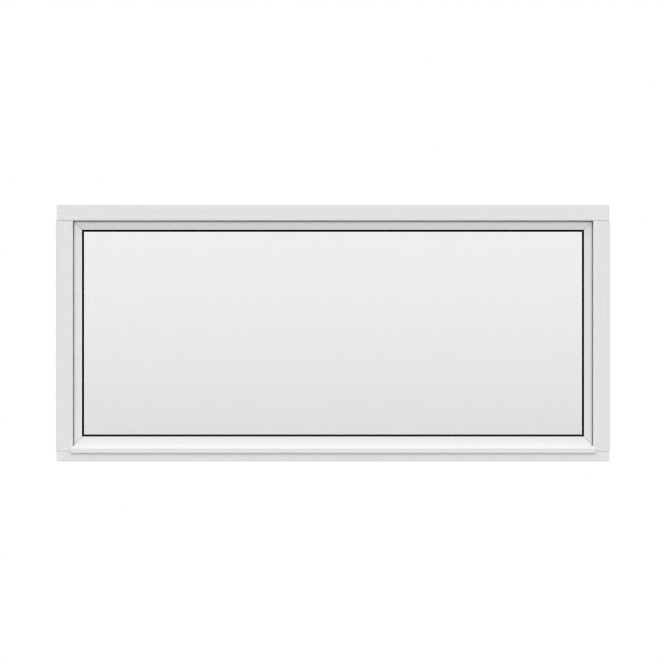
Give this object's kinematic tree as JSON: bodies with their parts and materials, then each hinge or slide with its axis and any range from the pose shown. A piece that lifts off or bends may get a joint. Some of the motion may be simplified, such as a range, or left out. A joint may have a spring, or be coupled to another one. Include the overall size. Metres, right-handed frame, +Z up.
{
  "type": "fixed picture window",
  "caption": "Wide fixed picture window: a white timber frame holds a sealed insulating glass unit behind mitred beads and a projecting drip bead.",
  "frame": {"origin": "middle of the footprint, at the underside of the sill", "axes": "+X along the window, right as seen from outside; +Y from outside to the room; +Z up"},
  "size_m": [1.49, 0.121, 0.69],
  "materials": {
    "painted_timber": "satin white paint",
    "coated_aluminium": "satin white powder coating",
    "cap_plastic": "satin white",
    "glass": "clear polished",
    "gasket_rubber": "matte black",
    "glazing_tape": "matte grey",
    "spacer_bar": "satin grey",
    "block_plastic": "matte dark grey",
    "screw_steel": "zinc plated"
  },
  "bodies": {
    "root": {"frame_head": "painted_timber", "frame_sill": "painted_timber", "frame_jamb_left": "painted_timber", "frame_jamb_right": "painted_timber", "bead_head": "coated_aluminium", "bead_left": "coated_aluminium", "bead_right": "coated_aluminium", "drip_bead": "coated_aluminium", "drip_end_cap_left": "cap_plastic", "drip_end_cap_right": "cap_plastic", "glass_outer": "glass", "glass_middle": "glass", "glass_inner": "glass", "outer_gasket_head": "gasket_rubber", "outer_gasket_sill": "gasket_rubber", "outer_gasket_left": "gasket_rubber", "outer_gasket_right": "gasket_rubber", "inner_tape_head": "glazing_tape", "inner_tape_sill": "glazing_tape", "inner_tape_left": "glazing_tape", "inner_tape_right": "glazing_tape", "outer_spacer_head": "spacer_bar", "outer_spacer_sill": "spacer_bar", "outer_spacer_left": "spacer_bar", "outer_spacer_right": "spacer_bar", "inner_spacer_head": "spacer_bar", "inner_spacer_sill": "spacer_bar", "inner_spacer_left": "spacer_bar", "inner_spacer_right": "spacer_bar", "setting_block_left": "block_plastic", "setting_block_right": "block_plastic"}
  },
  "joints": []
}
